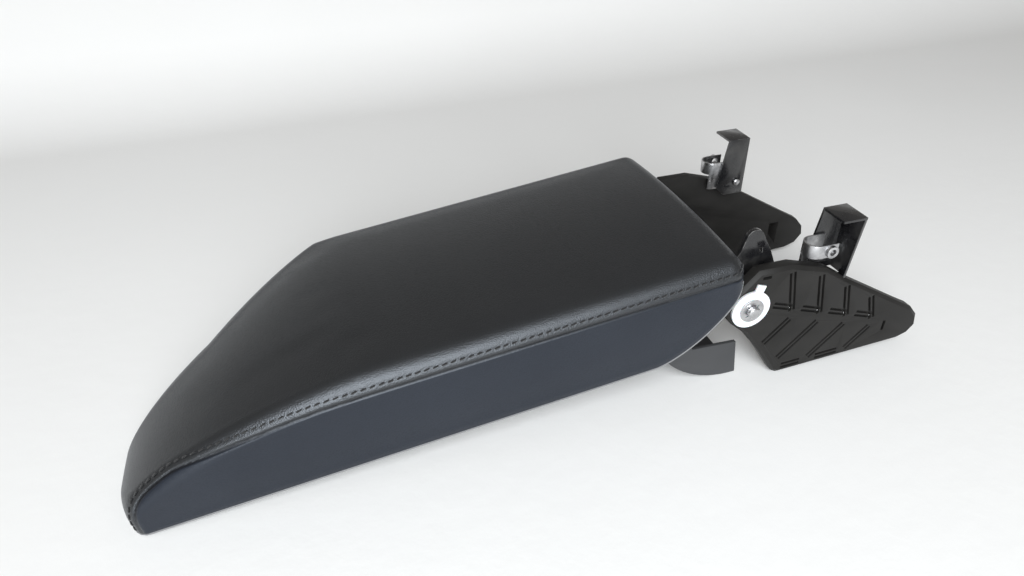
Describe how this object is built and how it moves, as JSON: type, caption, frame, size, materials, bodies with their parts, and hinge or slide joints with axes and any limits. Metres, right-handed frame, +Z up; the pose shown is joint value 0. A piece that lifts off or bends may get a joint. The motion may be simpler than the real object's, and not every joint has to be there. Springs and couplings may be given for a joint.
{
  "type": "center console armrest lid",
  "caption": "Padded leather armrest lid that hinges up on a steel rod between two ribbed plastic side plates with steel fixing clips.",
  "frame": {"origin": "middle of the part's length and width, on the surface that it stands on", "axes": "+X from the nose of the pad toward the hinge, +Y toward the swept side of the nose, +Z up"},
  "size_m": [0.5202, 0.165, 0.1145],
  "materials": {
    "leather": "fine grain, satin",
    "foam": "open foam",
    "core": "moulded",
    "trim": "fine texture",
    "plate": "satin moulded",
    "nylon": "natural white",
    "black_steel": "gloss black coating",
    "zinc": "zinc plated",
    "spring": "bright spring steel"
  },
  "bodies": {
    "base": {"hinge_rod": "zinc", "side_plate_left": "plate", "side_plate_right": "plate", "bushing_left": "nylon", "bushing_right": "nylon", "star_ring_left": "zinc", "star_ring_right": "zinc", "rod_spacer_left": "nylon", "rod_spacer_right": "nylon", "clip_bracket_left": "black_steel", "clip_bracket_right": "black_steel", "spring_clip_left": "spring", "spring_clip_right": "spring", "clip_rivet_left": "zinc", "clip_rivet_right": "zinc"},
    "lid": {"leather_cover": "leather", "foam_pad": "foam", "lid_core": "core", "under_panel": "trim", "rear_cover": "trim", "hinge_arm_left": "black_steel", "hinge_arm_right": "black_steel", "arm_screw_front_left": "zinc", "arm_screw_front_right": "zinc", "arm_screw_rear_left": "zinc", "arm_screw_rear_right": "zinc", "cover_screw_left": "zinc", "cover_screw_right": "zinc", "panel_screw_rear_left": "zinc", "panel_screw_rear_right": "zinc", "panel_screw_front": "zinc"}
  },
  "joints": [
    {"name": "lid_hinge", "type": "hinge", "parent": "base", "child": "lid", "pos_m": [0.11964, 0, 0.0615], "axis": [0, 1, 0], "range_deg": [0, 60]}
  ]
}
